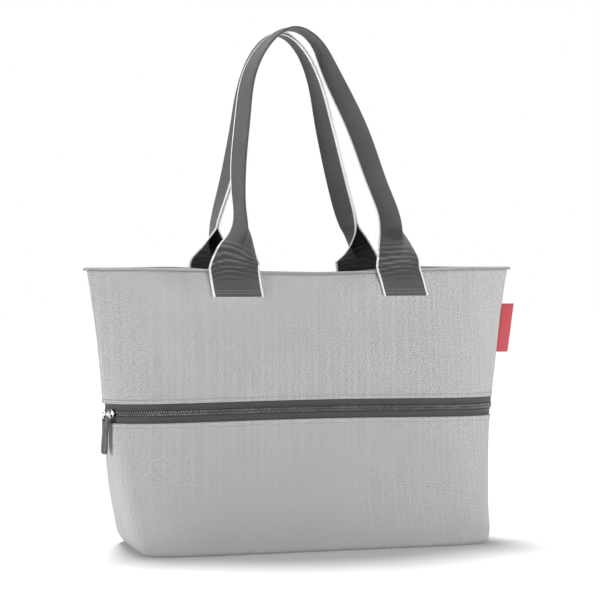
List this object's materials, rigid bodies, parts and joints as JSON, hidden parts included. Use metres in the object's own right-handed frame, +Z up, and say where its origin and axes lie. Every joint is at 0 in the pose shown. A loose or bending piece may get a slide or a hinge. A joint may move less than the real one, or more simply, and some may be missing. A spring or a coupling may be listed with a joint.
{
  "type": "shopper bag",
  "caption": "Soft open-topped shopper bag with a boxed base, a zip band round its middle, two folded webbing straps and a hanging zip pull.",
  "frame": {"origin": "middle of the base's underside, on the floor", "axes": "+Z up, the front of the bag faces -Y, +X to the right of the front"},
  "size_m": [0.4074, 0.1269, 0.4682],
  "materials": {
    "upper_fabric": "light grey herringbone weave",
    "lower_fabric": "light grey herringbone weave",
    "base_fabric": "plain weave",
    "binding": "ribbed tape",
    "zip_tape": "fine twill",
    "zip_coil": "satin",
    "nickel": "polished",
    "moulded_rubber": "satin",
    "webbing": "ribbed weave",
    "label_cloth": "woven"
  },
  "bodies": {
    "bag": {"front_upper_panel": "upper_fabric", "back_upper_panel": "upper_fabric", "front_lower_panel": "lower_fabric", "back_lower_panel": "lower_fabric", "base_panel": "base_fabric", "rim_binding": "binding", "zip_tape_upper": "zip_tape", "zip_tape_lower": "zip_tape", "zip_chain": "zip_coil", "zip_slider": "nickel", "front_strap": "webbing", "back_strap": "webbing", "label_tab": "label_cloth"},
    "zip_pull": {"pull_ring": "nickel", "pull_tab": "moulded_rubber"}
  },
  "joints": [
    {"name": "zip_pull_swing", "type": "hinge", "parent": "bag", "child": "zip_pull", "pos_m": [-0.18523, -0.01409, 0.12213], "axis": [-0.437, 0.8994, 0], "range_deg": [0, 120]}
  ]
}
